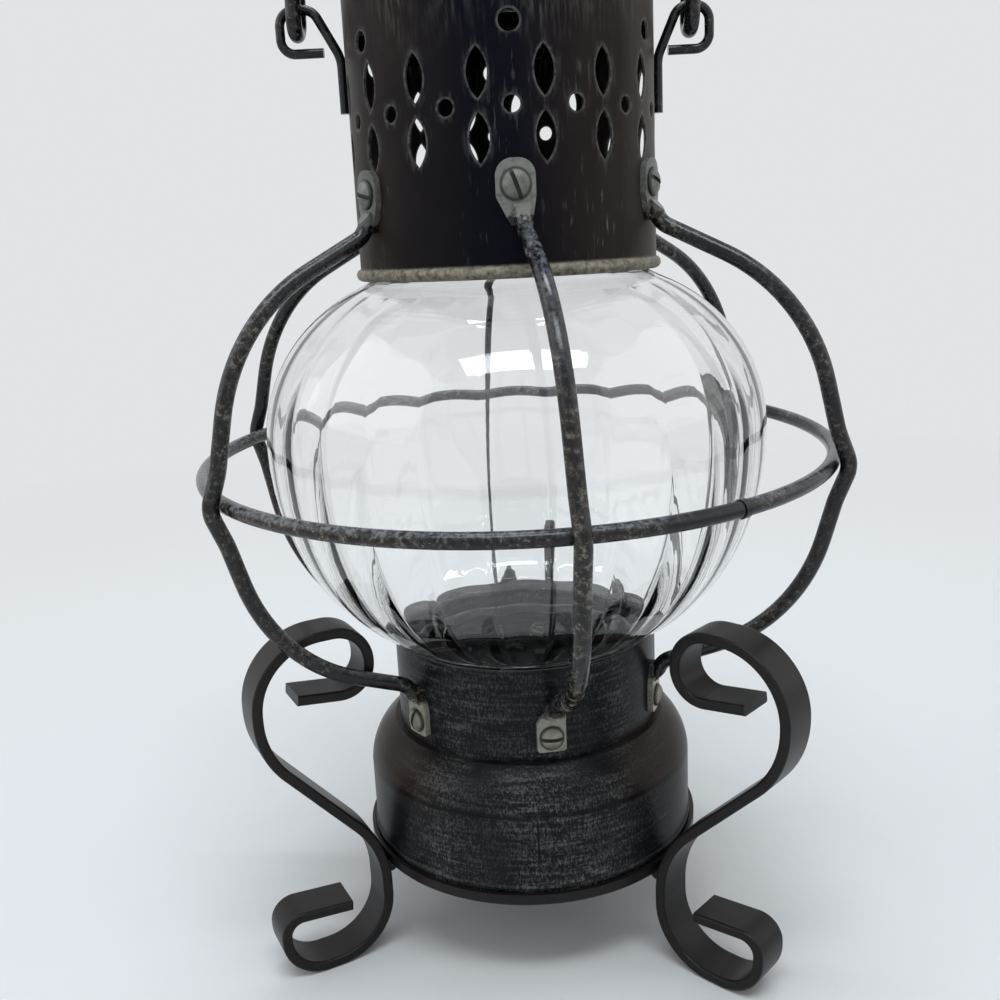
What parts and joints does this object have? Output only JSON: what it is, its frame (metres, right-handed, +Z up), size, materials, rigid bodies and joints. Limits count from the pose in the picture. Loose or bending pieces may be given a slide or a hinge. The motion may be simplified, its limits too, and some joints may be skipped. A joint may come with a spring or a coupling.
{
  "type": "candle lantern",
  "caption": "Black punched-metal candle lantern with a clear fluted glass globe in a wire cage, a wire carrying bail and a scroll-legged stand.",
  "frame": {"origin": "on the table, under the lantern's own axis", "axes": "+Z up along the lantern's axis, -Y towards the viewer of the picture, +X to that viewer's right"},
  "size_m": [0.1942, 0.2021, 0.3798],
  "materials": {
    "sheet_black": "worn satin black paint on sheet metal",
    "wire_black": "worn black paint on round wire",
    "stand_black": "satin black powder coat",
    "zinc": "dull zinc plate",
    "tin": "bare tinplate",
    "glass": "clear fluted glass"
  },
  "bodies": {
    "stand": {"stand_plate": "stand_black", "stand_leg_left": "stand_black", "stand_leg_right": "stand_black", "stand_leg_back": "stand_black", "stand_welds": "stand_black"},
    "base": {"base_shell": "sheet_black", "base_floor": "sheet_black", "candle_pan": "tin", "candle_socket": "tin"},
    "lantern": {"collar": "sheet_black", "globe_seat": "sheet_black", "globe": "glass", "cage_ring": "wire_black", "cage_rib_1": "wire_black", "cage_rib_2": "wire_black", "cage_rib_3": "wire_black", "cage_rib_4": "wire_black", "cage_rib_5": "wire_black", "cage_rib_6": "wire_black", "chimney": "sheet_black", "bail_ear_left": "wire_black", "bail_ear_right": "wire_black", "upper_screws": "zinc", "upper_nuts": "zinc", "lower_screws": "zinc", "lower_nuts": "zinc"},
    "cap": {"chimney_cap": "sheet_black", "cap_knob": "sheet_black"},
    "bail": {"bail": "wire_black"}
  },
  "joints": [
    {"name": "base_lift", "type": "slide", "parent": "stand", "child": "base", "axis": [0, 0, 1], "range_m": [0, 0.09]},
    {"name": "lantern_lift", "type": "slide", "parent": "base", "child": "lantern", "axis": [0, 0, 1], "range_m": [0, 0.06]},
    {"name": "cap_lift", "type": "slide", "parent": "lantern", "child": "cap", "axis": [0, 0, 1], "range_m": [0, 0.03]},
    {"name": "bail_swing", "type": "hinge", "parent": "lantern", "child": "bail", "pos_m": [-0.00125, 0, 0.2814], "axis": [0.9994, 0, -0.0356], "range_deg": [-130, 130]}
  ]
}
